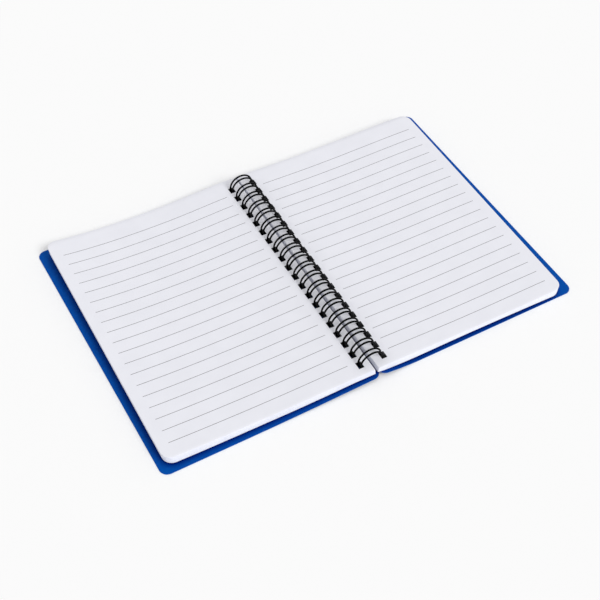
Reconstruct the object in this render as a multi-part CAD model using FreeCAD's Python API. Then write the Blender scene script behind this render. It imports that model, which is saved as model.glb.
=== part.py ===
"""Twin-loop wire notebook, lying open and flat. Millimetres, +Z up.

The left half is the front cover with the leaves already turned, the right half is the leaves
still to be turned on the back cover. The wire's axis runs along Y.
While the pieces are made, X = 0 is the wire's axis, Y = 0 is the middle of its loops and
Z = 0 is the table. At the end everything is moved so that the origin is under the middle of
the whole notebook.
"""
import FreeCAD, Part
import math
import os

from FreeCAD import Vector

# Leaves
LEAF_WIDTH = 130.4          # spine edge to fore-edge
LEAF_HEIGHT = 177.8         # head to foot, 7 inches
LEAF_CORNER = 6.0           # radius of the two fore-edge corners
LEAF_SLOT_EDGE = 6.75       # spine edge to the middle of the punched slots
LEAF_SLOT_ACROSS = 3.2
LEAF_LEAN = 0.8             # the lowest leaf lies this much nearer the spine than the top one
LEAF_SHIFT = 1.4            # middle of the leaves above the middle of the loops, along the spine

# Covers
COVER_WIDTH = 137.4
COVER_HEIGHT = 184.2
COVER_THICK = 0.4
COVER_CORNER = 5.0
COVER_SLOT_EDGE = 5.4       # spine edge to the middle of the punched slots
COVER_SLOT_ACROSS = 5.2
FRONT_BEND = 85.0           # from here to the spine edge each cover rises off the table
BACK_BEND = 30.0
FRONT_SHIFT = 2.3           # middle of each cover above the middle of the loops
BACK_SHIFT = 2.5
FRONT_SKEW = 0.4            # degrees that each cover lies turned on the table
BACK_SKEW = 0.4
LEFT_SKEW = -0.37           # degrees that the left leaves lie turned

# Wire
LOOP_COUNT = 20
LOOP_PITCH = 8.467          # three loops to the inch
LOOP_OUTSIDE = 15.9         # 5/8 inch rings
WIRE = 1.15                 # diameter of the coated wire
PAIR_SPACING = 2.9          # between the two strands of one loop
BASE_BEND = 1.2             # bend radius from the base line into a loop
TIP_ANGLE = 276.0           # where the loop's closed tip leaves the ring, counted from +X
BASE_ANGLE = 299.0          # where the ring leaves the base line

# Clearances
SLOT_PLAY = 0.2             # on each side of a loop, along the spine
SHEET_GAP = 0.3             # between pieces that lie on each other
LEFT_SLOT_PLACE = 7.25      # how far from the wire's axis the slots of each stack lie
RIGHT_SLOT_PLACE = 8.05
FRONT_SLOT_PLACE = 3.55
BACK_SLOT_PLACE = 6.4

# How high the top leaf lies over the table, from spine edge to fore-edge, and how much air
# there is between the lowest leaf and its cover besides the gap above
STATIONS = (0.0, 0.1, 0.3, 0.5, 0.75, 1.0)
LEFT_FOOT = (6.85, 7.2, 6.85, 6.55, 6.9, 8.05)
LEFT_FOOT_AIR = (0.4, 0.9, 0.65, 0.85, 0.95, 1.5)
LEFT_HEAD = (6.7, 6.8, 5.1, 4.35, 5.4, 9.3)
LEFT_HEAD_AIR = (0.3, 0.8, 0.2, 0.2, 0.75, 3.6)
RIGHT_FOOT = (7.2, 7.2, 6.3, 5.7, 6.0, 6.45)
RIGHT_HEAD = (7.0, 6.9, 6.3, 6.4, 7.3, 7.5)
RIGHT_AIR = (0.05, 0.5, 1.3, 1.5, 1.2, 0.45)

MARGIN = 8.0                # how far a raw shape runs past the outline that trims it

loop_radius = (LOOP_OUTSIDE - WIRE) / 2
axis_height = LOOP_OUTSIDE / 2
slot_length = PAIR_SPACING + WIRE + 2 * SLOT_PLAY
loop_places = [(i - (LOOP_COUNT - 1) / 2) * LOOP_PITCH for i in range(LOOP_COUNT)]

front_tip = FRONT_SLOT_PLACE - COVER_SLOT_EDGE      # spine edges, outward from the axis
back_tip = BACK_SLOT_PLACE - COVER_SLOT_EDGE


def inside_ring(reach):
    """Height of the ring's inner wall over the table at a distance from the axis."""
    return axis_height - math.sqrt((loop_radius - WIRE / 2) ** 2 - reach ** 2)


skewed_reach = loop_places[-1] * math.sin(math.radians(FRONT_SKEW)) - front_tip
front_rise = inside_ring(skewed_reach) + SHEET_GAP
back_rise = front_rise + COVER_THICK + 2 * SHEET_GAP

front_form = (front_tip, front_rise, FRONT_BEND)
back_form = (back_tip, back_rise, BACK_BEND)


def cover_height(out, form):
    """Height of a cover's underside at a distance out from the axis."""
    tip, rise, bend = form
    share = min(max((bend - out) / (bend - tip), 0.0), 1.0)
    return rise * (1 - math.cos(math.pi / 2 * share))


def cover_line(side, form, lift, y):
    """The underside of a cover, lifted, from the spine out: its bend and its flat."""
    tip, bend = form[0], form[2]
    start = tip - MARGIN / 4
    outs = [start + (bend - start) * k / 6 for k in range(7)]
    points = [Vector(side * out, y, cover_height(out, form) + lift) for out in outs]
    curve = Part.BSplineCurve()
    curve.interpolate(Points=points)
    end = Vector(side * (tip + COVER_WIDTH + MARGIN), y, lift)
    return [curve.toShape(), Part.LineSegment(points[-1], end).toShape()]


def outline(side, near, width, height, middle, radii, skew, z):
    """A rounded sheet's outline. radii are those at the spine edge and the outer edge."""
    far, low, high = near + width, middle - height / 2, middle + height / 2
    inner, outer = radii
    corners = [(near, low, inner), (far, low, outer), (far, high, outer), (near, high, inner)]
    edges = []
    ends = []
    for k, (x, y, r) in enumerate(corners):
        before, after = corners[k - 1], corners[(k + 1) % 4]
        here = Vector(side * x, y, z)
        back = (Vector(side * before[0], before[1], z) - here).normalize()
        on = (Vector(side * after[0], after[1], z) - here).normalize()
        first, last = here + back * r, here + on * r
        if r > 0:
            centre = here + (back + on) * r
            halfway = centre + (here - centre).normalize() * r
            edges.append(Part.Arc(first, halfway, last).toShape())
        ends.append((first, last))
    for k in range(4):
        edges.append(Part.LineSegment(ends[k][1], ends[(k + 1) % 4][0]).toShape())
    wire = Part.Wire(Part.__sortEdges__(edges))
    wire.rotate(Vector(0, middle, 0), Vector(0, 0, 1), skew)
    return Part.Face(wire)


def strip(lower, upper):
    """A closed wire between two lines of edges that both run outward."""
    near = Part.LineSegment(upper[0].firstVertex(True).Point, lower[0].firstVertex(True).Point)
    far = Part.LineSegment(lower[-1].lastVertex(True).Point, upper[-1].lastVertex(True).Point)
    return Part.Wire(Part.__sortEdges__(lower + upper + [near.toShape(), far.toShape()]))


def cover(side, form, shift, skew, slot_place):
    """One plastic cover: flat on the table, rising to the spine, with rounded corners."""
    low = shift - COVER_HEIGHT / 2 - MARGIN
    section = strip(cover_line(side, form, 0, low), cover_line(side, form, COVER_THICK, low))
    sheet = Part.Face(section).extrude(Vector(0, COVER_HEIGHT + 2 * MARGIN, 0))
    shape = outline(side, form[0], COVER_WIDTH, COVER_HEIGHT, shift,
                    (COVER_CORNER, COVER_CORNER), skew, -MARGIN)
    sheet = sheet.common(shape.extrude(Vector(0, 0, axis_height + 2 * MARGIN)))
    slots = []
    for y in loop_places:
        corner = Vector(side * slot_place - COVER_SLOT_ACROSS / 2, y - slot_length / 2, -MARGIN)
        slots.append(Part.makeBox(COVER_SLOT_ACROSS, slot_length, axis_height + MARGIN, corner))
    return sheet.cut(Part.makeCompound(slots))


def leaf_line(side, outs, heights, y):
    """One leaf's line from the spine edge to past the fore-edge."""
    points = [Vector(side * out, y, z) for out, z in zip(outs, heights)]
    slope = (points[-1] - points[-2]).normalize()
    curve = Part.BSplineCurve()
    curve.interpolate(Points=points)
    past = Part.LineSegment(points[-1], points[-1] + slope * MARGIN)
    return [curve.toShape(), past.toShape()]


def stack(side, form, tops, airs, skew, slot_place):
    """One stack of leaves over its cover, from heights at the foot and at the head."""
    near = slot_place - LEAF_SLOT_EDGE
    outs = [near + LEAF_WIDTH * s for s in STATIONS]
    lying = [cover_height(out, form) + COVER_THICK + SHEET_GAP for out in outs]
    ends = []
    for end, heights, air in zip((-1, 1), tops, airs):
        y = LEAF_SHIFT + end * (LEAF_HEIGHT / 2 + WIRE)
        lowest = [z + gap for z, gap in zip(lying, air)]
        ends.append(strip(leaf_line(side, outs, lowest, y), leaf_line(side, outs, heights, y)))
    raw = Part.makeLoft(ends, True, True)
    flat = outline(side, near, LEAF_WIDTH, LEAF_HEIGHT, LEAF_SHIFT, (0, LEAF_CORNER), skew, 0)
    tall = LOOP_OUTSIDE
    lean = Vector(side * LEAF_LEAN, 0, 0) * (tall / axis_height)
    flat.translate(lean * -0.5)
    leaves = raw.common(flat.extrude(lean + Vector(0, 0, tall)))
    return leaves.cut(Part.makeCompound([ring_channel(slot_place, y) for y in loop_places]))


def ring_channel(slot_place, y):
    """The slots of all leaves in a stack, punched so that they follow the ring."""
    start = Vector(0, y - slot_length / 2, axis_height)
    along = Vector(0, 1, 0)
    outer = Part.makeCylinder(slot_place + LEAF_SLOT_ACROSS / 2, slot_length, start, along)
    inner = Part.makeCylinder(slot_place - LEAF_SLOT_ACROSS / 2, slot_length, start, along)
    return outer.cut(inner)


class WirePath:
    """Sweeps a round section along lines and arcs, each starting where the last one ended."""

    def __init__(self, start, direction):
        self.point = start
        self.direction = direction
        circle = Part.Circle(start, direction, WIRE / 2)
        self.section = Part.Wire(circle.toShape())
        self.skins = [Part.Face(self.section)]

    def line(self, length):
        step = self.direction * length
        self.skins += self.section.extrude(step).Faces
        self.section.translate(step)
        self.point = self.point + step

    def arc(self, radius, towards, degrees):
        centre = self.point + towards * radius
        axis = self.direction.cross(towards)
        self.skins += self.section.revolve(centre, axis, degrees).Faces
        self.section.rotate(centre, axis, degrees)
        turn = FreeCAD.Rotation(axis, degrees)
        self.direction = turn.multVec(self.direction)
        self.point = centre + turn.multVec(self.point - centre)

    def solid(self):
        shell = Part.makeShell(self.skins + [Part.Face(self.section)])
        shell.sewShape()
        return Part.makeSolid(shell)


def ring_frame(degrees):
    """Unit vectors outward and along the ring at an angle."""
    turn = math.radians(degrees)
    out = Vector(math.cos(turn), 0, math.sin(turn))
    along = Vector(-math.sin(turn), 0, math.cos(turn))
    return out, along


def binding_wire():
    """The one wire: for each loop a strand up round the ring, a tip, and a strand back."""
    spine = Vector(0, 1, 0)
    base_out, base_along = ring_frame(BASE_ANGLE)
    tip_out, tip_along = ring_frame(TIP_ANGLE)
    around = TIP_ANGLE + 360 - BASE_ANGLE
    straight = LOOP_PITCH - PAIR_SPACING - 2 * BASE_BEND
    first = loop_places[0] - PAIR_SPACING / 2 - BASE_BEND - straight / 2
    start = Vector(0, first, axis_height) + base_out * loop_radius - base_along * BASE_BEND
    path = WirePath(start, spine)
    path.line(straight / 2)
    for number in range(LOOP_COUNT):
        path.arc(BASE_BEND, base_along, 90)
        path.arc(loop_radius, base_out * -1, around)
        path.arc(PAIR_SPACING / 2, spine, 180)
        path.arc(loop_radius, tip_out * -1, around)
        path.arc(BASE_BEND, spine, 90)
        path.line(straight if number < LOOP_COUNT - 1 else straight / 2)
    return path.solid()


pieces = {
    "front_cover": cover(-1, front_form, FRONT_SHIFT, FRONT_SKEW, FRONT_SLOT_PLACE),
    "back_cover": cover(1, back_form, BACK_SHIFT, BACK_SKEW, BACK_SLOT_PLACE),
    "left_pages": stack(-1, front_form, (LEFT_FOOT, LEFT_HEAD), (LEFT_FOOT_AIR, LEFT_HEAD_AIR),
                        LEFT_SKEW, LEFT_SLOT_PLACE),
    "right_pages": stack(1, back_form, (RIGHT_FOOT, RIGHT_HEAD), (RIGHT_AIR, RIGHT_AIR),
                         0, RIGHT_SLOT_PLACE),
    "binding_wire": binding_wire(),
}

box = Part.makeCompound(list(pieces.values())).optimalBoundingBox(False, False)
to_origin = Vector(-(box.XMin + box.XMax) / 2, -(box.YMin + box.YMax) / 2, 0)

os.makedirs("parts", exist_ok=True)
for name, shape in pieces.items():
    shape.translate(to_origin)
    shape.exportStep("parts/" + name + ".step")
    size = shape.optimalBoundingBox(False, False)
    print(name, len(shape.Solids), "solid", shape.isValid(), round(shape.Volume, 1), "mm3",
          [round(v, 2) for v in (size.XMin, size.XMax, size.YMin, size.YMax, size.ZMin, size.ZMax)])
print("wire axis at x, z:", round(to_origin.x, 4), round(axis_height + to_origin.z, 4),
      "loops' middle at y:", round(to_origin.y, 4))
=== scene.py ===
"""The looks of an open twin-loop wire notebook. Metres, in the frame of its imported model."""
import math
import random

import bpy
import numpy as np
from mathutils import Matrix, Vector
from mathutils.bvhtree import BVHTree


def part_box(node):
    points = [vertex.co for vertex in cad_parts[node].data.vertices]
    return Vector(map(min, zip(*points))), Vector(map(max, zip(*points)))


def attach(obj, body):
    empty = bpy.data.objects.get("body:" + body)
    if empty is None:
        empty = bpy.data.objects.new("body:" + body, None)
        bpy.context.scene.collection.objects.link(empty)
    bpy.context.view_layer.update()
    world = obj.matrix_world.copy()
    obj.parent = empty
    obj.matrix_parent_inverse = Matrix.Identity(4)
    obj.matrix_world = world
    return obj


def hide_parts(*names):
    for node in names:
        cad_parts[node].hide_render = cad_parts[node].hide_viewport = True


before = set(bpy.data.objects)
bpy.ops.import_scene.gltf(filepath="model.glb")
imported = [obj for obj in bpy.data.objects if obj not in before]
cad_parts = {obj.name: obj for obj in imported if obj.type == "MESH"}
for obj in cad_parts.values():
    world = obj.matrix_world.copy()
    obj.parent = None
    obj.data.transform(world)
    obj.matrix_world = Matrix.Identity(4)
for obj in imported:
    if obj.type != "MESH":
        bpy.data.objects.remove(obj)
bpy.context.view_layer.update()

# Leaves
LEAF_WIDTH = 0.1304
LEAF_HEIGHT = 0.1778
LEAF_CORNER = 0.006
LEAF_SLOT_EDGE = 0.00675
LEAF_SLOT_ACROSS = 0.0032
LEAF_LEAN = 0.0008
LEAF_SHIFT = 0.0014
LEFT_SKEW = -0.37
LEFT_SLOT_PLACE = 0.00725
RIGHT_SLOT_PLACE = 0.00805
LEAVES = 48                 # leaves that show at the edges of each stack
EDGE_INSET = 0.0001         # distance of the leaves' edges inside the stack's outline
EDGE_STRAY = 0.00008        # width of the range that each leaf's stray is drawn from
STRAY_KEPT = 0.7            # share of a leaf's stray that the next one takes over
GROOVE = 0.00005            # how deep the lines between the leaves are
LEAF_ROUND = 0.15           # share of a leaf's thickness where its edge starts and ends
PLAIN_COLUMNS = 30          # of the mesh, between the slots and the corners
CORNER_COLUMNS = 6
# the edge material is a lighter copy of the page paper: painted light on the stacks' sides
PAGE, EDGE_PAINTED_LIGHT, PUNCHED_PAINTED_SHADE = range(3)      # a stack's materials

# Wire, and the length of its slots
LOOP_COUNT = 20
LOOP_PITCH = 0.008467
SLOT_LENGTH = 0.00445

# Ruling
RULE_COUNT = 19
RULE_FIRST = 0.0764         # head line above the middle of the loops
RULE_SPACING = 0.00857
RULE_START = 0.01338        # from the wire's axis
RULE_LENGTHS = {"left": 0.1109, "right": 0.1115}
RULE_TURNS = {"left": -0.376, "right": -0.045}
RULE_MIDDLE = -0.0062       # the turn is about this place on the wire's axis
RULE_WIDTH = 0.0003
RULE_ABOVE = 0.00003
RULE_BELOW = 0.00002
RULE_STEPS = 30

# Finish and light
# painted shade: within this reach of other parts the covers' colour is darkened towards navy
SHADE_REACH = 0.006         # how near things darken the covers
SKY_LIGHT = 0.68            # what the surroundings shed
SKY_SEEN = 0.96             # how bright the camera sees them
SUN_LIGHT = 1.37
SUN_WIDTH = 25              # degrees
SUN_FROM = (0.3, -0.8, 0.8)

# Camera, from the photograph's perspective
CAMERA_PLACE = (-0.23966, -0.41633, 0.53941)    # from the foot of the wire's middle
CAMERA_AZIMUTH = 29.816
CAMERA_DOWN = 49.492
CAMERA_ROLL = 1.162
CAMERA_LENS = 70.716
CAMERA_SENSOR = 36.0

wire_low, wire_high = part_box("binding_wire")
axis = (wire_low + wire_high) / 2
axis_height = axis.z
loop_places = [(i - (LOOP_COUNT - 1) / 2) * LOOP_PITCH for i in range(LOOP_COUNT)]


def new_material(name):
    """A material with its node tree and its shader."""
    material = bpy.data.materials.new(name)
    material.use_nodes = True
    shader = material.node_tree.nodes["Principled BSDF"]
    return material, material.node_tree, shader


def add(tree, kind, **values):
    """A node with its properties, or its inputs by name, set."""
    node = tree.nodes.new(kind)
    for name, value in values.items():
        key = name.replace("_", " ").title()
        if hasattr(node, name):
            setattr(node, name, value)
        else:
            node.inputs[key].default_value = value
    return node


def noise(tree, scale, detail=2.0):
    """A noise texture that is fixed to the piece, with its scale per metre."""
    place = add(tree, "ShaderNodeTexCoord")
    texture = add(tree, "ShaderNodeTexNoise", scale=scale, detail=detail)
    tree.links.new(place.outputs["Object"], texture.inputs["Vector"])
    return texture


def ramp(tree, source, low, high, start=0.35, end=0.65):
    """Maps a value to colours between low and high."""
    node = add(tree, "ShaderNodeValToRGB")
    node.color_ramp.elements[0].position = start
    node.color_ramp.elements[1].position = end
    node.color_ramp.elements[0].color = (*low, 1.0)
    node.color_ramp.elements[1].color = (*high, 1.0)
    tree.links.new(source, node.inputs["Fac"])
    return node


def grain(tree, shader, scale, depth, strength, detail=3.0):
    """Fine bumps on the surface."""
    bump = add(tree, "ShaderNodeBump")
    bump.inputs["Strength"].default_value = strength
    bump.inputs["Distance"].default_value = depth
    tree.links.new(noise(tree, scale, detail).outputs["Fac"], bump.inputs["Height"])
    tree.links.new(bump.outputs["Normal"], shader.inputs["Normal"])


def rough_by_noise(tree, shader, scale, low, high):
    """Roughness that wanders between two values."""
    spread = add(tree, "ShaderNodeMapRange")
    spread.inputs["To Min"].default_value = low
    spread.inputs["To Max"].default_value = high
    tree.links.new(noise(tree, scale).outputs["Fac"], spread.inputs["Value"])
    tree.links.new(spread.outputs["Result"], shader.inputs["Roughness"])


def paper(name, low, high):
    """Uncoated white paper: a faint cloudiness and a fine tooth."""
    material, tree, shader = new_material(name)
    colour = ramp(tree, noise(tree, 90.0, 5.0).outputs["Fac"], low, high)
    tree.links.new(colour.outputs["Color"], shader.inputs["Base Color"])
    shader.inputs["Specular IOR Level"].default_value = 0.25
    rough_by_noise(tree, shader, 900.0, 0.82, 0.95)
    grain(tree, shader, 3200.0, 0.00002, 0.25)
    return material


def printed_line():
    """Grey ink of the ruling."""
    material, tree, shader = new_material("ruling_ink")
    mottle = noise(tree, 1500.0, 4.0).outputs["Fac"]
    ink = ramp(tree, mottle, (0.19, 0.19, 0.195), (0.27, 0.27, 0.275))
    tree.links.new(ink.outputs["Color"], shader.inputs["Base Color"])
    shader.inputs["Specular IOR Level"].default_value = 0.2
    shader.inputs["Roughness"].default_value = 0.9
    return material


def polypropylene():
    """Blue plastic sheet: fine grain, satin, a paler cut edge, and painted shade near things that
    stand on or over it.
    """
    material, tree, shader = new_material("cover_blue")
    mottle = noise(tree, 140.0, 6.0).outputs["Fac"]
    open_blue = ramp(tree, mottle, (0.0, 0.068, 0.355), (0.0, 0.077, 0.385))
    # painted shade: ambient occlusion darkens the cover where the leaves and the other cover stand
    # near it
    occlusion_shade = add(tree, "ShaderNodeAmbientOcclusion", samples=8)
    occlusion_shade.inputs["Distance"].default_value = SHADE_REACH
    depth = ramp(tree, occlusion_shade.outputs["AO"], (0.0, 0.0, 0.0), (1.0, 1.0, 1.0), 0.4, 0.85)
    body = add(tree, "ShaderNodeMix", data_type="RGBA")
    tree.links.new(depth.outputs["Color"], body.inputs["Factor"])
    # painted shade colour: navy where the cover is occluded
    body.inputs["A"].default_value = (0.0, 0.004, 0.16, 1.0)
    tree.links.new(open_blue.outputs["Color"], body.inputs["B"])
    place = add(tree, "ShaderNodeTexCoord")
    parts = add(tree, "ShaderNodeSeparateXYZ")
    tree.links.new(place.outputs["Normal"], parts.inputs["Vector"])
    level = add(tree, "ShaderNodeMath", operation="ABSOLUTE")
    tree.links.new(parts.outputs["Z"], level.inputs[0])
    mask = ramp(tree, level.outputs["Value"], (0.0, 0.0, 0.0), (1.0, 1.0, 1.0), 0.3, 0.8)
    mix = add(tree, "ShaderNodeMix", data_type="RGBA")
    tree.links.new(mask.outputs["Color"], mix.inputs["Factor"])
    mix.inputs["A"].default_value = (0.01, 0.12, 0.44, 1.0)
    tree.links.new(body.outputs["Result"], mix.inputs["B"])
    tree.links.new(mix.outputs["Result"], shader.inputs["Base Color"])
    shader.inputs["Specular IOR Level"].default_value = 0.04
    rough_by_noise(tree, shader, 700.0, 0.36, 0.48)
    grain(tree, shader, 2600.0, 0.00003, 0.35, 2.0)
    return material


def coated_wire():
    """Black nylon coat on steel wire, smooth with a slight orange peel."""
    material, tree, shader = new_material("wire_black")
    mottle = noise(tree, 400.0, 3.0).outputs["Fac"]
    coat = ramp(tree, mottle, (0.001, 0.001, 0.001), (0.003, 0.003, 0.0035))
    tree.links.new(coat.outputs["Color"], shader.inputs["Base Color"])
    shader.inputs["Specular IOR Level"].default_value = 0.04
    rough_by_noise(tree, shader, 1200.0, 0.24, 0.36)
    grain(tree, shader, 1800.0, 0.00001, 0.2)
    return material


class Surface:
    """Height of a stack's top or underside, read off its solid along two lines across it."""

    READINGS = 130
    FIT = 7
    FROM_ENDS = 0.003       # from the foot and the head
    FROM_SPINE = 0.0014
    FROM_FORE = 0.0026

    def __init__(self, node, side, near, upper):
        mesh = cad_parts[node].data
        solid = BVHTree.FromPolygons([v.co for v in mesh.vertices],
                                     [p.vertices for p in mesh.polygons])
        self.side = side
        half = LEAF_HEIGHT / 2 - self.FROM_ENDS
        self.low, self.high = LEAF_SHIFT - half, LEAF_SHIFT + half
        start, end = near + self.FROM_SPINE, near + LEAF_WIDTH - self.FROM_FORE
        outs = np.linspace(start, end, self.READINGS)
        self.curves = []
        for y in (self.low, self.high):
            heights = []
            for out in outs:
                above = 4 * axis_height if upper else -axis_height
                origin = Vector((axis.x + side * out, axis.y + y, above))
                hit = solid.ray_cast(origin, Vector((0, 0, -1 if upper else 1)))
                heights.append(hit[0].z)
            self.curves.append(np.polynomial.Polynomial.fit(outs, heights, self.FIT))

    def height(self, x, y):
        """Height at a place given from the wire's axis and the middle of its loops."""
        low, high = (curve(self.side * x) for curve in self.curves)
        return low + (high - low) * (y - self.low) / (self.high - self.low)


class Stack:
    """One stack of leaves: where each point of a leaf lies."""

    def __init__(self, node, side, slot_place, skew):
        self.side = side
        self.slot_place = slot_place
        self.near = slot_place - LEAF_SLOT_EDGE
        self.turn = math.radians(skew)
        self.top = Surface(node, side, self.near, True)
        self.under = Surface(node, side, self.near, False)
        self.columns = self.plan_columns()
        self.rows = self.plan_rows()

    def plan_columns(self):
        """Distances from the spine edge. The second and third are the slots' two sides."""
        past_slots = 2 * LEAF_SLOT_EDGE
        corner_start = LEAF_WIDTH - LEAF_CORNER
        plain = np.linspace(past_slots, corner_start, PLAIN_COLUMNS)
        corner = [corner_start + LEAF_CORNER * math.sin(math.pi / 2 * k / CORNER_COLUMNS)
                  for k in range(1, CORNER_COLUMNS + 1)]
        half = LEAF_SLOT_ACROSS / 2
        return [0.0, LEAF_SLOT_EDGE - half, LEAF_SLOT_EDGE + half, *plain, *corner]

    def plan_rows(self):
        """Places along the spine: foot, each slot's two ends, and head."""
        foot = LEAF_SHIFT - LEAF_HEIGHT / 2
        head = LEAF_SHIFT + LEAF_HEIGHT / 2
        rows = [foot, foot + LEAF_CORNER / 4]
        for place in loop_places:
            rows += [place - SLOT_LENGTH / 2, place + SLOT_LENGTH / 2]
        return rows + [head - LEAF_CORNER / 2, head]

    def is_slot(self, i, j):
        """Whether the cell from column i and row j on is one of the slots."""
        return i == 1 and 2 <= j < len(self.rows) - 2 and j % 2 == 0

    def half_height(self, out):
        """Half the leaf's height at a distance from its spine edge, less at the corners."""
        into = max(out - (LEAF_WIDTH - LEAF_CORNER), 0.0)
        return LEAF_HEIGHT / 2 - LEAF_CORNER + math.sqrt(max(LEAF_CORNER ** 2 - into ** 2, 0.0))

    def settle(self, x, y, share):
        """Height of the leaf at that share of the stack."""
        low, high = self.under.height(x, y), self.top.height(x, y)
        return low + (high - low) * share

    def point(self, i, j, share, inset, stray=(0.0, 0.0)):
        """A point of the leaf at that share of the stack, in the row frame."""
        out = self.columns[i]
        fraction = (self.rows[j] - LEAF_SHIFT) / (LEAF_HEIGHT / 2)
        if i in (1, 2):
            wider = -inset if i == 1 else inset
            reach = self.slot_place + (i - 1.5) * LEAF_SLOT_ACROSS + wider
            y = self.rows[j]
            if 2 <= j < len(self.rows) - 2:
                y += inset if j % 2 else -inset
            elif j in (0, len(self.rows) - 1):
                y += math.copysign(inset, -fraction) + stray[1]
            z = self.settle(self.side * reach, y, share)
            x = self.side * math.sqrt(reach ** 2 - (axis_height - z) ** 2)
        else:
            out = inset + out * (1 - 2 * inset / LEAF_WIDTH)
            y = fraction * (self.half_height(self.columns[i]) - inset) + stray[1]
            x = self.side * (self.near + out) + stray[0]
            x, y = (x * math.cos(self.turn) - y * math.sin(self.turn),
                    x * math.sin(self.turn) + y * math.cos(self.turn) + LEAF_SHIFT)
            z = self.settle(x, y, share)
            x += self.side * LEAF_LEAN * (z / axis_height - 1)
        return axis.x + x, axis.y + y, z


class Mesh:
    """Points and faces that become one object."""

    def __init__(self):
        self.points = []
        self.faces = []
        self.marks = []

    def point(self, place):
        self.points.append(place)
        return len(self.points) - 1

    def face(self, corners, mark=0):
        self.faces.append(corners)
        self.marks.append(mark)

    def band(self, first, second, mark=0):
        """Faces between two closed rings of as many points."""
        for k in range(len(first)):
            on = (k + 1) % len(first)
            self.face((first[k], first[on], second[on], second[k]), mark)

    def object(self, name, materials, sharp_over):
        """The finished piece, smooth except over edges sharper than an angle."""
        data = bpy.data.meshes.new(name)
        data.from_pydata(self.points, [], self.faces)
        for material in materials:
            data.materials.append(material)
        data.polygons.foreach_set("material_index", self.marks)
        data.polygons.foreach_set("use_smooth", [True] * len(self.faces))
        data.set_sharp_from_angle(angle=math.radians(sharp_over))
        data.update()
        piece = bpy.data.objects.new(name, data)
        bpy.context.scene.collection.objects.link(piece)
        return piece


def leaf_strays():
    """For each leaf from the lowest up: how far it strays across and along the spine."""
    strays = []
    drift = [0.0, 0.0]
    for _ in range(LEAVES):
        drift = [STRAY_KEPT * d + random.uniform(-0.5, 0.5) * EDGE_STRAY for d in drift]
        strays.append(tuple(drift))
    return strays


def leaf_stack(name, node, stack, materials):
    """The stack as one closed mesh, with every leaf's edge on its sides and in its slots."""
    mesh = Mesh()
    last_i, last_j = len(stack.columns) - 1, len(stack.rows) - 1
    around = [(i, 0) for i in range(last_i)] + [(last_i, j) for j in range(last_j)]
    around += [(i, last_j) for i in range(last_i, 0, -1)] + [(0, j) for j in range(last_j, 0, -1)]
    slots = [[(1, j), (1, j + 1), (2, j + 1), (2, j)] for j in range(2, last_j - 1, 2)]
    loops = [around] + slots
    strays = leaf_strays()

    def sheet(share, stray, upwards):
        """A whole face of the stack: its top or its underside."""
        inset = EDGE_INSET + GROOVE / 2
        corners = {}
        for i in range(last_i + 1):
            for j in range(last_j + 1):
                corners[i, j] = mesh.point(stack.point(i, j, share, inset, stray))
        for i in range(last_i):
            for j in range(last_j):
                if stack.is_slot(i, j):
                    continue
                cell = [corners[i, j], corners[i + 1, j], corners[i + 1, j + 1], corners[i, j + 1]]
                mesh.face(cell if upwards == (stack.side > 0) else cell[::-1], PAGE)
        return corners

    rings = []
    for k, stray in enumerate(strays):
        rings.append(((k + LEAF_ROUND) / LEAVES, EDGE_INSET, stray))
        rings.append(((k + 1 - LEAF_ROUND) / LEAVES, EDGE_INSET, stray))
        if k < LEAVES - 1:
            rings.append(((k + 1) / LEAVES, EDGE_INSET + GROOVE, stray))
    bottom = sheet(0.0, strays[0], False)
    top = sheet(1.0, strays[-1], True)
    for loop in loops:
        levels = [[bottom[place] for place in loop]]
        for share, inset, stray in rings:
            levels.append([mesh.point(stack.point(i, j, share, inset, stray)) for i, j in loop])
        levels.append([top[place] for place in loop])
        # the slot walls take the near-black paper: painted shade inside the slots
        mark = EDGE_PAINTED_LIGHT if loop is around else PUNCHED_PAINTED_SHADE
        for below, above in zip(levels, levels[1:]):
            if stack.side > 0:
                mesh.band(below, above, mark)
            else:
                mesh.band(above, below, mark)
    return mesh.object(name, materials, 40)


def ruling(name, stack, page, material):
    """The printed lines on the top and on the underside of a stack, each a thin closed strip."""
    mesh = Mesh()
    turn = math.radians(RULE_TURNS[page])
    for upper in (True, False):
        surface = stack.top if upper else stack.under
        inside, outside = (-RULE_BELOW, RULE_ABOVE) if upper else (RULE_BELOW, -RULE_ABOVE)
        for number in range(RULE_COUNT):
            middle = RULE_FIRST - number * RULE_SPACING
            rings = []
            for step in range(RULE_STEPS + 1):
                out = RULE_START + RULE_LENGTHS[page] * step / RULE_STEPS
                ring = []
                for across, off in ((-0.5, inside), (0.5, inside), (0.5, outside), (-0.5, outside)):
                    x, y = stack.side * out, middle + across * RULE_WIDTH - RULE_MIDDLE
                    x, y = (x * math.cos(turn) - y * math.sin(turn),
                            x * math.sin(turn) + y * math.cos(turn) + RULE_MIDDLE)
                    z = surface.height(x, y)
                    x += stack.side * LEAF_LEAN * (z / axis_height - 1)
                    ring.append(mesh.point((axis.x + x, axis.y + y, z + off)))
                rings.append(ring)
            forwards = (stack.side > 0) == upper
            for first, second in zip(rings, rings[1:]):
                mesh.band(*((second, first) if forwards else (first, second)))
            mesh.face(rings[0] if not forwards else rings[0][::-1])
            mesh.face(rings[-1][::-1] if not forwards else rings[-1])
    return mesh.object(name, [material], 40)


def paint(node, material):
    """Gives a solid that stays as it is its finish."""
    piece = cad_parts[node]
    piece.data.materials.clear()
    piece.data.materials.append(material)


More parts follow.
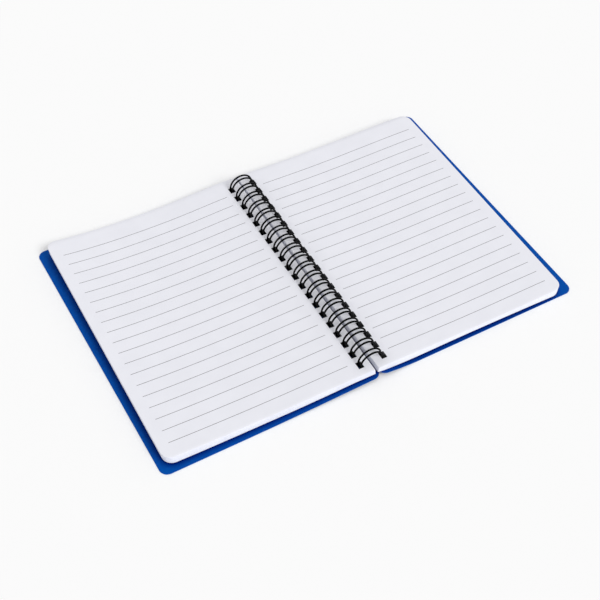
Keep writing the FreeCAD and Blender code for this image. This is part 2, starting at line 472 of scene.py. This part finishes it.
def build_pages():
    """Both stacks of leaves and their ruling."""
    page = paper("paper_page", (0.82, 0.824, 0.882), (0.84, 0.844, 0.902))
    # painted light: the stacks' sides get a lighter copy of the page paper, for the light from the
    # front and to offset the shade in the grooves between leaves
    edge = paper("paper_edge_painted_light", (0.84, 0.853, 0.93), (0.87, 0.883, 0.955))
    # painted shade: the slot walls get a near-black copy of the page paper, for the shade inside the
    # punched slots
    punched_painted_shade = paper("paper_punched_painted_shade", (0.03, 0.03, 0.034), (0.05, 0.05, 0.055))
    ink = printed_line()
    for name, side, place, skew in (("left", -1, LEFT_SLOT_PLACE, LEFT_SKEW),
                                    ("right", 1, RIGHT_SLOT_PLACE, 0.0)):
        stack = Stack(name + "_pages", side, place, skew)
        leaves = leaf_stack(name + "_leaf_stack", name + "_pages", stack, [page, edge, punched_painted_shade])
        lines = ruling(name + "_ruling", stack, name, ink)
        for piece in (leaves, lines):
            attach(piece, name + "_leaves")
        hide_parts(name + "_pages")


def build_stage():
    """A pale floor just under the notebook."""
    size = 3.0
    drop = 0.00002
    data = bpy.data.meshes.new("floor")
    data.from_pydata([(-size, -size, -drop), (size, -size, -drop), (size, size, -drop),
                      (-size, size, -drop)], [], [(0, 1, 2, 3)])
    floor = bpy.data.objects.new("floor", data)
    bpy.context.scene.collection.objects.link(floor)
    material, _, shader = new_material("floor_white")
    shader.inputs["Base Color"].default_value = (0.985, 0.985, 0.985, 1.0)
    shader.inputs["Roughness"].default_value = 1.0
    shader.inputs["Specular IOR Level"].default_value = 0.0
    data.materials.append(material)


def build_light():
    """Even white surroundings and one soft lamp from the front right."""
    world = bpy.data.worlds.new("studio")
    world.use_nodes = True
    tree = world.node_tree
    background = tree.nodes["Background"]
    background.inputs["Color"].default_value = (1.0, 1.0, 1.0, 1.0)
    seen = add(tree, "ShaderNodeLightPath")
    strength = add(tree, "ShaderNodeMapRange")
    strength.inputs["To Min"].default_value = SKY_LIGHT
    strength.inputs["To Max"].default_value = SKY_SEEN
    tree.links.new(seen.outputs["Is Camera Ray"], strength.inputs["Value"])
    tree.links.new(strength.outputs["Result"], background.inputs["Strength"])
    bpy.context.scene.world = world
    data = bpy.data.lights.new("key", "SUN")
    data.energy = SUN_LIGHT
    data.angle = math.radians(SUN_WIDTH)
    lamp = bpy.data.objects.new("key", data)
    lamp.rotation_euler = Vector(SUN_FROM).to_track_quat("Z", "Y").to_euler()
    bpy.context.scene.collection.objects.link(lamp)


def build_camera():
    """The photograph's view."""
    azimuth, down, roll = (math.radians(a) for a in (CAMERA_AZIMUTH, CAMERA_DOWN, CAMERA_ROLL))
    forward = Vector((math.sin(azimuth) * math.cos(down), math.cos(azimuth) * math.cos(down),
                      -math.sin(down)))
    level = Vector((math.cos(azimuth), -math.sin(azimuth), 0.0))
    upright = level.cross(forward)
    right = level * math.cos(roll) + upright * math.sin(roll)
    up = right.cross(forward)
    data = bpy.data.cameras.new("camera")
    data.lens = CAMERA_LENS
    data.sensor_width = CAMERA_SENSOR
    data.clip_start = 0.01
    camera = bpy.data.objects.new("camera", data)
    place = Vector(CAMERA_PLACE) + Vector((axis.x, axis.y, 0.0))
    turn = Matrix((right, up, -forward)).transposed().to_4x4()
    camera.matrix_world = Matrix.Translation(place) @ turn
    bpy.context.scene.collection.objects.link(camera)
    bpy.context.scene.camera = camera


random.seed(7)
bpy.context.scene.view_settings.view_transform = "Standard"
blue = polypropylene()
paint("front_cover", blue)
paint("back_cover", blue)
paint("binding_wire", coated_wire())
build_pages()
build_stage()
build_light()
build_camera()
